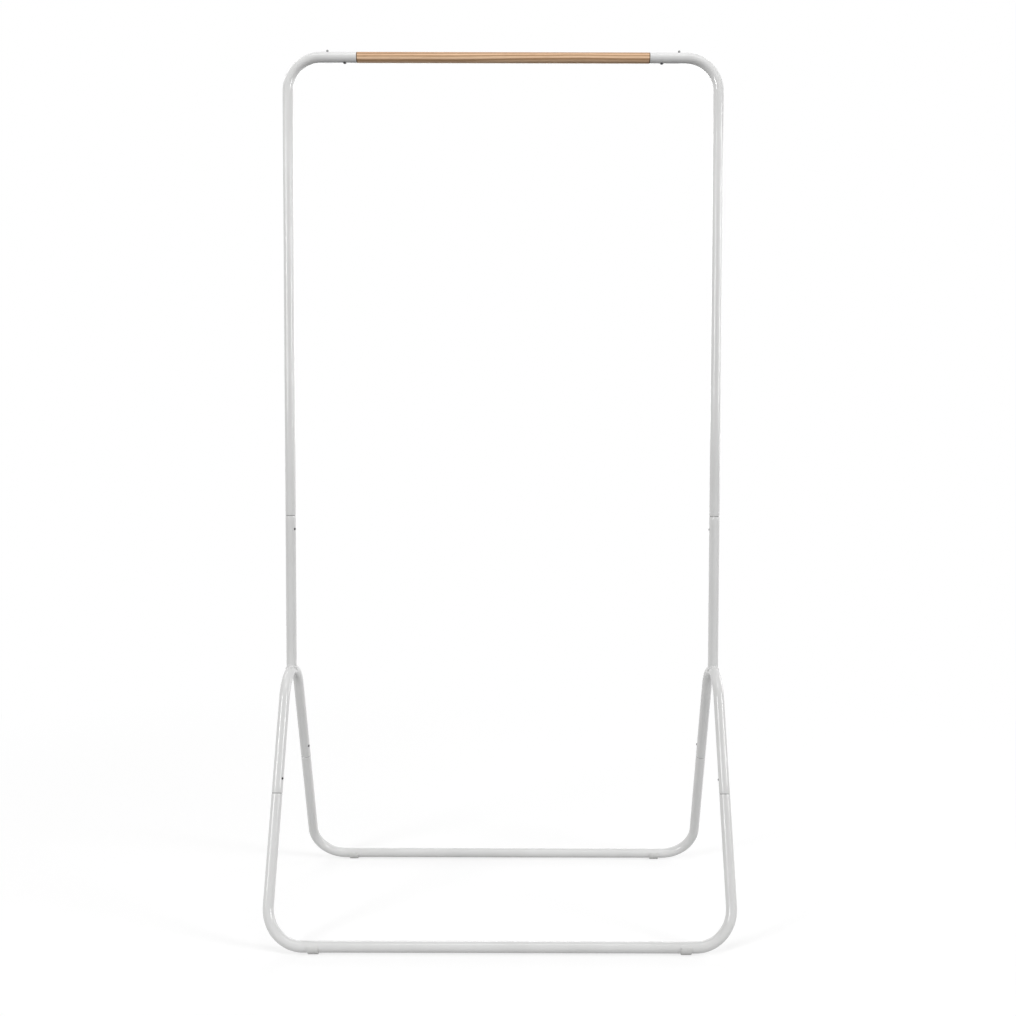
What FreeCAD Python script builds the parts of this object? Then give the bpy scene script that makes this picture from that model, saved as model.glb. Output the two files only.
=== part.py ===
import FreeCAD, Part
import Sketcher
import math
import os

# Free-standing clothes rack of bent steel tube with a wooden hanging rail.
# +Z is up, +X runs along the rail to the right, +Y points to the back.
# The origin lies on the floor, midway between the four feet.

os.makedirs("parts", exist_ok=True)
doc = FreeCAD.newDocument("clothes_rack")
sheet = doc.addObject("Spreadsheet::Sheet", "Sizes")
Vector = FreeCAD.Vector

# Driving dimensions in millimetres, and two angles in degrees
sizes = {
    "overall_height": 1600,     # floor to the top of the upper frames
    "overall_width": 820,       # over the two side frames
    "overall_depth": 440,       # over the two floor bars
    "tube_diameter": 19,        # every steel tube of the frame
    "tube_wall": 1.0,
    "leg_angle": 21,            # lean of the legs from upright
    "hairpin_radius": 64,       # bend of the side frame's crown, on the tube's axis
    "hairpin_leg": 168,         # straight run of the side frame, bend to seam
    "lower_post_length": 293.5, # crown's axis to the post seam
    "floor_bend_radius": 65,
    "top_bend_radius": 62,
    "stub_length": 66.5,        # top bend to the rail's shoulder
    "rail_diameter": 19,
    "rail_chamfer": 0.8,
    "tenon_clearance": 10,      # rail's tenon to the hanger stop's axis
    "spigot_length": 45,        # reduced tube end that plugs into the next tube
    "spigot_gap": 0.15,         # radial
    "swage_length": 5,          # run over which the tube narrows
    "seam_chamfer": 0.8,        # edge of the narrowed tube's shoulder
    "button_offset": 25,        # seam to the snap button's axis
    "button_turn": 25,          # buttons' turn round the tubes, from facing straight in
    "button_diameter": 4,
    "button_rise": 1.4,         # proud of the tube
    "button_round": 1,
    "button_gap": 0.3,          # round the button, and from its collar to the tube
    "collar_diameter": 6,
    "collar_thickness": 1,
    "spring_width": 6,
    "spring_thickness": 0.6,
    "spring_length": 18,        # button's axis to the fold
    "spring_tail": 5,           # button's axis to the free end
    "spring_gap": 0.1,
    "stop_offset": 12,          # top bend to the hanger stop's axis
    "stop_neck": 3.2,           # hanger stop's shank, through the tube
    "stop_diameter": 4.6,       # its ball head
    "stop_head": 3.6,           # head's height
    "stop_rise": 4.4,           # tube to the top of the head
    "stop_round": 1.7,
    "flare_diameter": 6.4,      # riveted end of the hanger stop, inside the tube
    "flare_thickness": 1.2,
    "screw_diameter": 3.5,
    "screw_length": 14,
    "screw_point": 3,
    "screw_head_diameter": 6,
    "screw_head_height": 2,
    "screw_head_round": 1,
    "recess_length": 3.4,       # cross recess, tip to tip
    "recess_width": 0.8,
    "recess_depth": 0.9,
    "foot_rise": 2,             # floor to the underside of the bar
    "foot_width": 18,           # along the bar
    "foot_wall": 1.8,
    "foot_base": 7,             # pad on the floor, across the bar
    "foot_grip": 4,             # clip's lips above the bar's axis
    "foot_offset": 17.5,        # floor bend to the foot's middle
    "peg_diameter": 4.4,
    "peg_length": 3,            # peg's reach past the bar's outer face
    "weld_leg": 2.2,
    "fit_gap": 0.1,             # round pegs, studs, screws and welds
}
for row, (name, size) in enumerate(sizes.items(), start=1):
    sheet.set(f"A{row}", name)
    sheet.set(f"B{row}", str(size))
    sheet.setAlias(f"B{row}", name)
doc.recompute()

# Sizes and places that follow from the driving dimensions
tube_radius = "(Sizes.tube_diameter / 2)"
bore_radius = f"({tube_radius} - Sizes.tube_wall)"
spigot_radius = f"({bore_radius} - Sizes.spigot_gap)"
spigot_bore = f"({spigot_radius} - Sizes.tube_wall)"
half_span = f"(Sizes.overall_width / 2 - {tube_radius})"
half_depth = f"(Sizes.overall_depth / 2 - {tube_radius})"
bar_height = f"(Sizes.foot_rise + {tube_radius})"
rail_height = f"(Sizes.overall_height - {tube_radius})"
lean = "(Sizes.leg_angle * 1 deg)"
crown_centre = f"({bar_height} + {half_depth} / tan{lean} - Sizes.hairpin_radius / sin{lean})"
crown_height = f"({crown_centre} + Sizes.hairpin_radius)"
vertex_height = f"({bar_height} + {half_depth} / tan{lean})"
post_seam = f"({crown_height} + Sizes.lower_post_length)"
post_button = f"({post_seam} - Sizes.button_offset)"
leg_seam = f"({half_depth} / sin{lean} - Sizes.hairpin_radius / tan{lean} - Sizes.hairpin_leg)"
leg_button = f"({leg_seam} + Sizes.button_offset)"
stub_end = "(Sizes.top_bend_radius + Sizes.stub_length)"
stop_place = "(Sizes.top_bend_radius + Sizes.stop_offset)"
tenon_length = "(Sizes.stub_length - Sizes.stop_offset - Sizes.tenon_clearance)"
screw_place = f"({stub_end} - {tenon_length} / 2)"
foot_place = f"({half_span} - Sizes.floor_bend_radius - Sizes.foot_offset)"
button_hole = "(Sizes.button_diameter / 2 + Sizes.button_gap)"
collar_seat = f"(sqrt({spigot_bore}^2 - Sizes.collar_diameter^2 / 4) - Sizes.button_gap)"

no_turn = "rotation(vector(0; 0; 1); 0 deg)"
half_turn = "rotation(vector(0; 0; 1); 180 deg)"
upside_down = "rotation(vector(1; 0; 0); 180 deg)"
lean_back = f"rotation(vector(1; 0; 0); -{lean})"
lean_forward = f"rotation(vector(1; 0; 0); {lean})"
swing = "(Sizes.button_turn * 1 deg)"
hole_swing = f"rotation(vector(0; 1; 0); -{swing})"     # in a sketch on an upright plane


def number(expression):
    """The present value of an expression on the sheet's cells."""
    return float(sheet.evalExpression(expression))


def place(x, y, z, turn=no_turn):
    """Expression for a placement."""
    return f"placement(vector({x}; {y}; {z}); {turn})"


def leg_point(end, along):
    """Y and Z of a point on a leg's axis; end is -1 in front and 1 at the back."""
    y = f"{end} * ({half_depth} - {along} * sin{lean})"
    z = f"({bar_height} + {along} * cos{lean})"
    return y, z


def new_body(label, placement):
    body = doc.addObject("PartDesign::Body", label)
    body.Label = label
    body.setExpression("Placement", placement)
    return body


def origin_plane(body, role):
    return next(f for f in body.Origin.OriginFeatures if f.Role == role)


def new_sketch(body, role, placement):
    sketch = body.newObject("Sketcher::SketchObject", f"{body.Name}_sketch")
    sketch.AttachmentSupport = (origin_plane(body, role), [""])
    sketch.MapMode = "FlatFace"
    sketch.setExpression("AttachmentOffset", placement)
    return sketch


def dimension(sketch, kind, geometry, expression):
    """Adds a dimension that follows an expression."""
    index = sketch.addConstraint(Sketcher.Constraint(kind, *geometry, number(expression)))
    name = f"{kind}_{index}"
    sketch.renameConstraint(index, name)
    sketch.setExpression(f"Constraints.{name}", expression)


def pin(sketch, geometry, end, x, y):
    """Holds an end of a line, or a circle's centre, at x and y from the sketch's origin."""
    dimension(sketch, "DistanceX", (-1, 1, geometry, end), x)
    dimension(sketch, "DistanceY", (-1, 1, geometry, end), y)


def draw_circle(sketch, radius, x="0", y="0"):
    centre = Vector(number(x), number(y), 0)
    circle = sketch.addGeometry(Part.Circle(centre, Vector(0, 0, 1), number(radius)))
    pin(sketch, circle, 3, x, y)
    dimension(sketch, "Radius", (circle,), radius)


def draw_polygon(sketch, corners):
    points = [Vector(number(x), number(y), 0) for x, y in corners]
    ends = points[1:] + points[:1]
    lines = [sketch.addGeometry(Part.LineSegment(a, b)) for a, b in zip(points, ends)]
    for line, following in zip(lines, lines[1:] + lines[:1]):
        sketch.addConstraint(Sketcher.Constraint("Coincident", line, 2, following, 1))
    for line, (x, y) in zip(lines, corners):
        pin(sketch, line, 1, x, y)


def draw_spine(sketch, corners, radius):
    """A tube's axis: straight runs towards the corners, joined by tangent arcs of one radius."""
    points = [Vector(number(x), number(y), 0) for x, y in corners]
    bend = number(radius)
    guides = [sketch.addGeometry(Part.LineSegment(a, b), True) for a, b in zip(points, points[1:])]
    for guide, following in zip(guides, guides[1:]):
        sketch.addConstraint(Sketcher.Constraint("Coincident", guide, 2, following, 1))
    for guide, (x, y) in zip(guides, corners):
        pin(sketch, guide, 1, x, y)
    pin(sketch, guides[-1], 2, *corners[-1])

    ways = [(b - a).normalize() for a, b in zip(points, points[1:])]
    turns = [a.getAngle(b) for a, b in zip(ways, ways[1:])]
    cuts = [0] + [bend * math.tan(turn / 2) for turn in turns] + [0]
    runs = []
    for index, (guide, way) in enumerate(zip(guides, ways)):
        start = points[index] + way * cuts[index]
        end = points[index + 1] - way * cuts[index + 1]
        runs.append(sketch.addGeometry(Part.LineSegment(start, end)))
    for run, guide in zip(runs[1:], guides[1:]):
        sketch.addConstraint(Sketcher.Constraint("PointOnObject", run, 1, guide))
    for run, guide in zip(runs[:-1], guides[:-1]):
        sketch.addConstraint(Sketcher.Constraint("PointOnObject", run, 2, guide))
    sketch.addConstraint(Sketcher.Constraint("Coincident", runs[0], 1, guides[0], 1))
    sketch.addConstraint(Sketcher.Constraint("Coincident", runs[-1], 2, guides[-1], 2))

    for index, (before, after) in enumerate(zip(ways, ways[1:])):
        start = points[index + 1] - before * cuts[index + 1]
        end = points[index + 1] + after * cuts[index + 1]
        inset = math.hypot(cuts[index + 1], bend) - bend
        middle = points[index + 1] + (after - before).normalize() * inset
        arc = sketch.addGeometry(Part.Arc(start, middle, end))
        left_turn = before.cross(after).z > 0
        first, last = (1, 2) if left_turn else (2, 1)
        sketch.addConstraint(Sketcher.Constraint("Tangent", runs[index], 2, arc, first))
        sketch.addConstraint(Sketcher.Constraint("Tangent", runs[index + 1], 1, arc, last))
        dimension(sketch, "Radius", (arc,), radius)


def add_feature(body, kind, sketch, **settings):
    """Adds a feature made from one sketch and checks that it changed the body the right way."""
    before = body.Shape.Volume if body.Tip else 0
    feature = body.newObject(f"PartDesign::{kind}", f"{body.Name}_{kind.lower()}")
    feature.Profile = sketch
    for name, setting in settings.items():
        if isinstance(setting, str) and "Sizes." in setting:
            feature.setExpression(name, setting)
        else:
            setattr(feature, name, setting)
    doc.recompute()
    grew = body.Shape.Volume > before
    if grew == (kind in ("Pocket", "Groove")):
        raise RuntimeError(f"{feature.Name} points away from {body.Label}")
    return feature


def add_tube(body, path_role, corners, radius, start):
    """Sweeps the tube's ring along its axis, from a ring sketch placed at the start."""
    path = new_sketch(body, path_role, place("0", "0", "0"))
    draw_spine(path, corners, radius)
    ring = new_sketch(body, "XY_Plane", start)
    draw_circle(ring, tube_radius)
    draw_circle(ring, bore_radius)
    doc.recompute()
    return add_feature(body, "AdditivePipe", ring, Spine=(path, []))


def add_spigot(body, x, shoulder, turn=no_turn):
    """Narrowed tube end on an upright axis, from the full tube below its shoulder to its tip."""
    sketch = new_sketch(body, "XZ_Plane", place(x, shoulder, "0", turn))
    tip = "(Sizes.swage_length + Sizes.spigot_length)"
    draw_polygon(sketch, [
        (bore_radius, "0"),
        (tube_radius, "0"),
        (tube_radius, "Sizes.swage_length - Sizes.seam_chamfer"),
        (f"{tube_radius} - Sizes.seam_chamfer", "Sizes.swage_length"),
        (spigot_radius, "Sizes.swage_length"),
        (spigot_radius, tip),
        (spigot_bore, tip),
        (spigot_bore, "Sizes.swage_length"),
    ])
    return add_feature(body, "Revolution", sketch, ReferenceAxis=(sketch, ["V_Axis"]))


def add_hole(body, role, placement, radius, depth, reverse):
    """Round hole from a sketch plane, against the plane's normal or, reversed, along it."""
    sketch = new_sketch(body, role, placement)
    draw_circle(sketch, radius)
    return add_feature(body, "Pocket", sketch, Length=depth, Reversed=reverse)


def add_mirror(body, role, originals):
    mirror = body.newObject("PartDesign::Mirrored", f"{body.Name}_mirror")
    mirror.Originals = originals
    mirror.MirrorPlane = (origin_plane(body, role), [""])
    body.Tip = mirror
    doc.recompute()


def round_rim(body, axis, height, radius):
    """Fillets the circular rim that lies square to an axis at a height, in the body's own frame."""
    base = body.Tip
    names = []
    for index, edge in enumerate(base.Shape.Edges, start=1):
        if isinstance(edge.Curve, Part.Circle) and abs(getattr(edge.Curve.Axis, axis)) > 0.999:
            if abs(getattr(edge.Curve.Center, axis) - height) < 1e-6:
                names.append(f"Edge{index}")
    fillet = body.newObject("PartDesign::Fillet", f"{body.Name}_fillet")
    fillet.Base = (base, names)
    fillet.setExpression("Radius", radius)
    doc.recompute()


def floor_frame(label, end, turn):
    """U of tube in a leaning plane: the bar lies along X, the legs rise to their spigots."""
    body = new_body(label, place("0", f"{end} * {half_depth}", bar_height, turn))
    shoulder = f"({leg_seam} - Sizes.swage_length)"
    corners = [
        (f"-{half_span}", shoulder),
        (f"-{half_span}", "0"),
        (half_span, "0"),
        (half_span, shoulder),
    ]
    add_tube(body, "XZ_Plane", corners, "Sizes.floor_bend_radius",
             place(f"-{half_span}", "0", shoulder))
    spigot = add_spigot(body, f"-{half_span}", shoulder)
    # The feet stand upright under a leaning frame, so their peg holes lean back
    underside = f"rotation(vector(1; 0; 0); {-end} * {lean})"
    peg = add_hole(body, "XY_Plane", place(f"-{foot_place}", "0", "0", underside),
                   "Sizes.peg_diameter / 2 + Sizes.fit_gap", "Sizes.tube_diameter", False)
    add_mirror(body, "YZ_Plane", [spigot, peg])
    # Both buttons face in; the left one swings to the front and the right one to the back
    for x, along in ((f"-{half_span}", True), (half_span, False)):
        add_hole(body, "YZ_Plane", place("0", leg_button, x, hole_swing), button_hole, tube_radius, along)
    return body


def side_frame(label, x, turn):
    """Hairpin of tube: two straight legs and the crown that carries the lower post."""
    body = new_body(label, place(x, "0", "0", turn))
    front_y, front_z = leg_point(-1, leg_seam)
    rear_y, rear_z = leg_point(1, leg_seam)
    corners = [(front_y, front_z), ("0", vertex_height), (rear_y, rear_z)]
    add_tube(body, "YZ_Plane", corners, "Sizes.hairpin_radius",
             place("0", front_y, front_z, lean_back))
    for end in (-1, 1):
        button_y, button_z = leg_point(end, leg_button)
        leg_swing = f"rotation(vector({-end} * sin{lean}; cos{lean}; 0); -{swing})"
        add_hole(body, "YZ_Plane", place(button_y, button_z, "0", leg_swing),
                 button_hole, "Sizes.tube_diameter", True)
    return body


def lower_post(label, x, turn):
    """Upright tube, coped to sit on the crown."""
    body = new_body(label, place(x, "0", "0", turn))
    ring = new_sketch(body, "XY_Plane", place("0", "0", crown_height))
    draw_circle(ring, tube_radius)
    draw_circle(ring, bore_radius)
    add_feature(body, "Pad", ring, Length="Sizes.lower_post_length")
    cope = new_sketch(body, "XZ_Plane", place("0", crown_centre, "0"))
    draw_circle(cope, f"{tube_radius} + Sizes.fit_gap", "0", "Sizes.hairpin_radius")
    add_feature(body, "Groove", cope, ReferenceAxis=(cope, ["H_Axis"]))
    add_hole(body, "YZ_Plane", place("0", post_button, "0", hole_swing),
             button_hole, "Sizes.tube_diameter", True)
    return body


def apex_weld(label, x):
    """Bead in the corner between the lower post and the crown."""
    def new_solid(kind, name, placement, **radii):
        solid = doc.addObject(f"Part::{kind}", f"{label}_{name}")
        solid.setExpression("Placement", placement)
        for property_name, expression in radii.items():
            solid.setExpression(property_name, expression)
        return solid

    def join(kind, name, base, tool):
        solid = doc.addObject(f"Part::{kind}", f"{label}_{name}")
        solid.Base = base
        solid.Tool = tool
        return solid

    foot = place(x, "0", f"({crown_height} - Sizes.weld_leg)")
    hub = place(x, "0", crown_centre, "rotation(vector(0; 1; 0); 90 deg)")
    rise = f"({tube_radius} + 3 * Sizes.weld_leg)"
    weld_radius = f"({tube_radius} + Sizes.weld_leg)"
    seat_radius = f"({tube_radius} + Sizes.fit_gap)"
    sleeve = new_solid("Cylinder", "sleeve", foot, Radius=weld_radius, Height=rise)
    post = new_solid("Cylinder", "post", foot, Radius=seat_radius, Height=rise)
    bead = new_solid("Torus", "bead", hub, Radius1="Sizes.hairpin_radius", Radius2=weld_radius)
    crown = new_solid("Torus", "crown", hub, Radius1="Sizes.hairpin_radius", Radius2=seat_radius)
    near_crown = doc.addObject("Part::MultiCommon", f"{label}_common")
    near_crown.Shapes = [sleeve, bead]
    weld = join("Cut", "weld", join("Cut", "cut", near_crown, post), crown)
    weld.Label = label
    doc.recompute()
    return weld


def upper_frame(label, x, turn):
    """J of tube: spigot at the foot, upright, top bend and the stub that holds the rail."""
    body = new_body(label, place(x, "0", "0", turn))
    shoulder = f"({post_seam} + Sizes.swage_length)"
    corners = [("0", shoulder), ("0", rail_height), (stub_end, rail_height)]
    add_tube(body, "XZ_Plane", corners, "Sizes.top_bend_radius", place("0", "0", shoulder))
    add_spigot(body, "0", shoulder, half_turn)
    add_hole(body, "YZ_Plane", place("0", post_button, "0", hole_swing), button_hole, tube_radius, True)
    add_hole(body, "XY_Plane", place(screw_place, "0", rail_height),
             "Sizes.screw_diameter / 2 + Sizes.fit_gap", "Sizes.tube_diameter", False)
    add_hole(body, "XY_Plane", place(stop_place, "0", rail_height),
             "Sizes.stop_neck / 2 + Sizes.fit_gap", "Sizes.tube_diameter", True)
    return body


def hanging_rail(label):
    """Wooden dowel with a turned-down tenon at each end and a pilot hole in each tenon."""
    body = new_body(label, place("0", "0", rail_height))
    half_length = f"({half_span} - {stub_end})"
    rail_radius = "(Sizes.rail_diameter / 2)"
    tenon_end = f"({half_length} + {tenon_length})"
    sketch = new_sketch(body, "XZ_Plane", place("0", "0", "0"))
    draw_polygon(sketch, [
        ("0", "0"),
        (tenon_end, "0"),
        (tenon_end, f"{spigot_radius} - Sizes.rail_chamfer"),
        (f"{tenon_end} - Sizes.rail_chamfer", spigot_radius),
        (half_length, spigot_radius),
        (half_length, f"{rail_radius} - Sizes.rail_chamfer"),
        (f"{half_length} - Sizes.rail_chamfer", rail_radius),
        ("0", rail_radius),
    ])
    half = add_feature(body, "Revolution", sketch, ReferenceAxis=(sketch, ["H_Axis"]))
    pilot_top = f"(Sizes.screw_length - {tube_radius} + Sizes.fit_gap)"
    pilot = add_hole(body, "XY_Plane", place(f"{half_span} - {screw_place}", "0", pilot_top),
                     "Sizes.screw_diameter / 2 + Sizes.fit_gap", "Sizes.tube_diameter + Sizes.screw_length",
                     False)
    add_mirror(body, "YZ_Plane", [half, pilot])
    return body


def snap_button(label, placement):
    """Button on the tube's inner side, with the collar that stops it inside the spigot."""
    body = new_body(label, placement)
    sketch = new_sketch(body, "XZ_Plane", place("0", "0", "0"))
    tip = f"({tube_radius} + Sizes.button_rise)"
    collar_back = f"({collar_seat} - Sizes.collar_thickness)"
    draw_polygon(sketch, [
        (collar_back, "0"),
        (tip, "0"),
        (tip, "Sizes.button_diameter / 2"),
        (collar_seat, "Sizes.button_diameter / 2"),
        (collar_seat, "Sizes.collar_diameter / 2"),
        (collar_back, "Sizes.collar_diameter / 2"),
    ])
    add_feature(body, "Revolution", sketch, ReferenceAxis=(sketch, ["H_Axis"]))
    round_rim(body, "x", number(tip), "Sizes.button_round")
    return body


def button_spring(label, placement):
    """Folded strip in the spigot: one arm under the button's collar, the other on the far wall."""
    body = new_body(label, placement)
    back = f"(sqrt({spigot_bore}^2 - Sizes.spring_width^2 / 4) - Sizes.spring_gap)"
    front = f"({collar_seat} - Sizes.collar_thickness - Sizes.spring_gap)"
    flat = "(Sizes.collar_diameter / 2)"
    slope = f"((Sizes.spring_length - {flat}) / ({front} + {back}))"
    thickness = "Sizes.spring_thickness"
    sketch = new_sketch(body, "XZ_Plane", place("0", "0", "0"))
    draw_polygon(sketch, [
        (f"-{back}", "Sizes.spring_tail"),
        (f"-{back}", "-Sizes.spring_length"),
        (front, f"-{flat}"),
        (front, "Sizes.spring_tail"),
        (f"{front} - {thickness}", "Sizes.spring_tail"),
        (f"{front} - {thickness}", f"-{flat}"),
        (f"-{back} + {thickness}", f"-Sizes.spring_length + 2 * {thickness} * {slope}"),
        (f"-{back} + {thickness}", "Sizes.spring_tail"),
    ])
    add_feature(body, "Pad", sketch, Length="Sizes.spring_width", Midplane=True)
    return body


def hanger_stop(label, x):
    """Ball-headed stud riveted through the top of the stub, just inside the bend."""
    body = new_body(label, place(x, "0", rail_height))
    seat = f"(sqrt({bore_radius}^2 - Sizes.flare_diameter^2 / 4) - Sizes.fit_gap)"
    base = f"({seat} - Sizes.flare_thickness)"
    top = f"({tube_radius} + Sizes.stop_rise)"
    head = f"({top} - Sizes.stop_head)"
    sketch = new_sketch(body, "XZ_Plane", place("0", "0", "0"))
    draw_polygon(sketch, [
        ("0", base),
        ("Sizes.flare_diameter / 2", base),
        ("Sizes.flare_diameter / 2", seat),
        ("Sizes.stop_neck / 2", seat),
        ("Sizes.stop_neck / 2", head),
        ("Sizes.stop_diameter / 2", head),
        ("Sizes.stop_diameter / 2", top),
        ("0", top),
    ])
    add_feature(body, "Revolution", sketch, ReferenceAxis=(sketch, ["V_Axis"]))
    round_rim(body, "z", number(top), "Sizes.stop_round")
    return body


def rail_screw(label, x):
    """Pan-head screw from below, through the stub and into the rail's tenon."""
    body = new_body(label, place(x, "0", rail_height))
    seat = f"(-{tube_radius} - Sizes.fit_gap)"
    head = f"({seat} - Sizes.screw_head_height)"
    tip = f"(Sizes.screw_length - {tube_radius})"
    sketch = new_sketch(body, "XZ_Plane", place("0", "0", "0"))
    draw_polygon(sketch, [
        ("0", head),
        ("Sizes.screw_head_diameter / 2", head),
        ("Sizes.screw_head_diameter / 2", seat),
        ("Sizes.screw_diameter / 2", seat),
        ("Sizes.screw_diameter / 2", f"{tip} - Sizes.screw_point"),
        ("0", tip),
    ])
    add_feature(body, "Revolution", sketch, ReferenceAxis=(sketch, ["V_Axis"]))
    round_rim(body, "z", number(head), "Sizes.screw_head_round")
    recess = new_sketch(body, "XY_Plane", place("0", "0", head))
    reach = "(Sizes.recess_length / 2)"
    wide = "(Sizes.recess_width / 2)"
    draw_polygon(recess, [
        (reach, wide), (wide, wide), (wide, reach), (f"-{wide}", reach),
        (f"-{wide}", wide), (f"-{reach}", wide), (f"-{reach}", f"-{wide}"), (f"-{wide}", f"-{wide}"),
        (f"-{wide}", f"-{reach}"), (wide, f"-{reach}"), (wide, f"-{wide}"), (reach, f"-{wide}"),
    ])
    add_feature(body, "Pocket", recess, Length="Sizes.recess_depth", Reversed=True)
    return body


def foot(label, x, y):
    """Saddle clip under a floor bar: pad on the floor, lips round the bar, peg into its underside."""
    body = new_body(label, place(x, y, bar_height))
    outer = f"({tube_radius} + Sizes.foot_wall)"
    width = "Sizes.foot_width"
    beyond = f"({outer} + Sizes.foot_wall)"

    clip = new_sketch(body, "YZ_Plane", place("0", "0", "0"))
    draw_circle(clip, outer)
    add_feature(body, "Pad", clip, Length=width, Midplane=True)
    pad = new_sketch(body, "YZ_Plane", place("0", "0", "0"))
    draw_polygon(pad, [
        ("-Sizes.foot_base / 2", f"-{bar_height}"),
        ("Sizes.foot_base / 2", f"-{bar_height}"),
        ("Sizes.foot_base / 2", "0"),
        ("-Sizes.foot_base / 2", "0"),
    ])
    add_feature(body, "Pad", pad, Length=width, Midplane=True)
    seat = new_sketch(body, "YZ_Plane", place("0", "0", "0"))
    draw_circle(seat, f"{tube_radius} + Sizes.fit_gap")
    add_feature(body, "Pocket", seat, Length=f"2 * {width}", Midplane=True)
    mouth = new_sketch(body, "YZ_Plane", place("0", "0", "0"))
    draw_polygon(mouth, [
        (f"-{beyond}", "Sizes.foot_grip"),
        (beyond, "Sizes.foot_grip"),
        (beyond, beyond),
        (f"-{beyond}", beyond),
    ])
    add_feature(body, "Pocket", mouth, Length=f"2 * {width}", Midplane=True)
    root = f"(Sizes.foot_rise / 2 + {tube_radius})"
    peg = new_sketch(body, "XY_Plane", place("0", "0", f"-{root}"))
    draw_circle(peg, "Sizes.peg_diameter / 2")
    add_feature(body, "Pad", peg, Length="Sizes.foot_rise / 2 + Sizes.peg_length")
    return body


sides = {"left": -1, "right": 1}
side_turn = {"left": no_turn, "right": half_turn}
ends = {"front": -1, "rear": 1}
end_turn = {"front": lean_back, "rear": lean_forward}

nodes = []
for end_name, end in ends.items():
    nodes.append(floor_frame(f"{end_name}_floor_frame", end, end_turn[end_name]))
for side, sign in sides.items():
    axis_x = f"{sign} * {half_span}"
    nodes.append(side_frame(f"side_frame_{side}", axis_x, side_turn[side]))
    nodes.append(lower_post(f"lower_post_{side}", axis_x, side_turn[side]))
    nodes.append(apex_weld(f"apex_weld_{side}", axis_x))
    nodes.append(upper_frame(f"upper_frame_{side}", axis_x, side_turn[side]))
    nodes.append(hanger_stop(f"hanger_stop_{side}", f"{sign} * ({half_span} - {stop_place})"))
    nodes.append(rail_screw(f"rail_screw_{side}", f"{sign} * ({half_span} - {screw_place})"))
    for end_name, end in ends.items():
        nodes.append(foot(f"foot_{end_name}_{side}", f"{sign} * {foot_place}", f"{end} * {half_depth}"))
    post_way = f"{upside_down} * {side_turn[side]} * rotation(vector(0; 0; 1); {swing})"
    joints = {"post": place(axis_x, "0", post_button, post_way)}
    for end_name, end in ends.items():
        y, z = leg_point(end, leg_button)
        leg_way = f"{end_turn[end_name]} * {side_turn[side]} * rotation(vector(0; 0; 1); -{swing})"
        joints[end_name] = place(axis_x, y, z, leg_way)
    for joint, placement in joints.items():
        nodes.append(snap_button(f"button_{joint}_{side}", placement))
        nodes.append(button_spring(f"spring_{joint}_{side}", placement))
nodes.append(hanging_rail("hanging_rail"))

doc.recompute()
for item in doc.Objects:
    if "Invalid" in item.State or "Error" in item.State:
        raise RuntimeError(f"{item.Label} failed: {item.State}")
for node in nodes:
    if node.Shape.isNull() or not node.Shape.isValid() or len(node.Shape.Solids) != 1:
        raise RuntimeError(f"{node.Label} is not one valid solid")
for node in nodes:
    node.Shape.exportStep(f"parts/{node.Label}.step")
    print(f"{node.Label}: {node.Shape.Volume:.1f} mm3")
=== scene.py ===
import math

import bmesh
import bpy
import numpy as np
from mathutils import Matrix, Vector


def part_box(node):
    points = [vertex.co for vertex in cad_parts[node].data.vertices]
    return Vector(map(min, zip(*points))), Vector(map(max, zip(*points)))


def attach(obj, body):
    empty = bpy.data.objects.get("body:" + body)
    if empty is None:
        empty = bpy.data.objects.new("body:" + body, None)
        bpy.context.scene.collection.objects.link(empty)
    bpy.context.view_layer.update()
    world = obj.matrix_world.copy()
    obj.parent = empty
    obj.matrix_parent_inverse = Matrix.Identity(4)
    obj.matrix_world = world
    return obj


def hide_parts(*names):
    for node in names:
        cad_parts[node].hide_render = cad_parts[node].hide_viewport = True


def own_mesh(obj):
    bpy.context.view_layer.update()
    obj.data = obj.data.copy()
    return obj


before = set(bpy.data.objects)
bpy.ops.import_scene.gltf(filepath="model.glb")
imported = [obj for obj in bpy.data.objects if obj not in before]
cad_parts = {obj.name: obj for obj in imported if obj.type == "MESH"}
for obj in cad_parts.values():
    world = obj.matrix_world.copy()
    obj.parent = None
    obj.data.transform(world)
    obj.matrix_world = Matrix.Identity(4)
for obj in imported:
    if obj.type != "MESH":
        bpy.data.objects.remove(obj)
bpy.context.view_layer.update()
mm = 0.001
turn = 2 * math.pi
sides = {"left": -1, "right": 1}
ends = {"front": -1, "rear": 1}
down, up = [0, 0, -1], [0, 0, 1]
print("frame loaded,", len(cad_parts), "nodes")


# places read from the frame's boxes
def boxOf(node):
    low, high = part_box(node)
    return np.array(low), np.array(high)


standSet = {
    "lean": 21,          # degrees, legs from upright
    "buttonSwing": 25,   # degrees, snap buttons round their tubes, from facing straight in
}
lean = math.radians(standSet["lean"])
swing = math.radians(standSet["buttonSwing"])
postLow, postHigh = boxOf("lower_post_right")
floorLow = boxOf("front_floor_frame")[0]
hairpinLow, hairpinHigh = boxOf("side_frame_right")
railLow, railHigh = boxOf("hanging_rail")
tubeRadius = (postHigh[0] - postLow[0]) / 2
halfSpan = (postHigh[0] + postLow[0]) / 2     # middle of the rack to a post's axis
halfDepth = -floorLow[1] - tubeRadius         # middle of the rack to a floor bar's axis
barHeight = floorLow[2] + tubeRadius
railHeight = (railLow[2] + railHigh[2]) / 2
postSeam = postHigh[2]
crownHeight = hairpinHigh[2] - tubeRadius
legSeam = (hairpinLow[2] + tubeRadius * math.sin(lean) - barHeight) / math.cos(lean)   # up the leg


def legPoint(side, end, along):
    # a leg's axis climbs from the floor bar and leans to the middle
    return [side * halfSpan, end * (halfDepth - along * math.sin(lean)),
            barHeight + along * math.cos(lean)]


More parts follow.
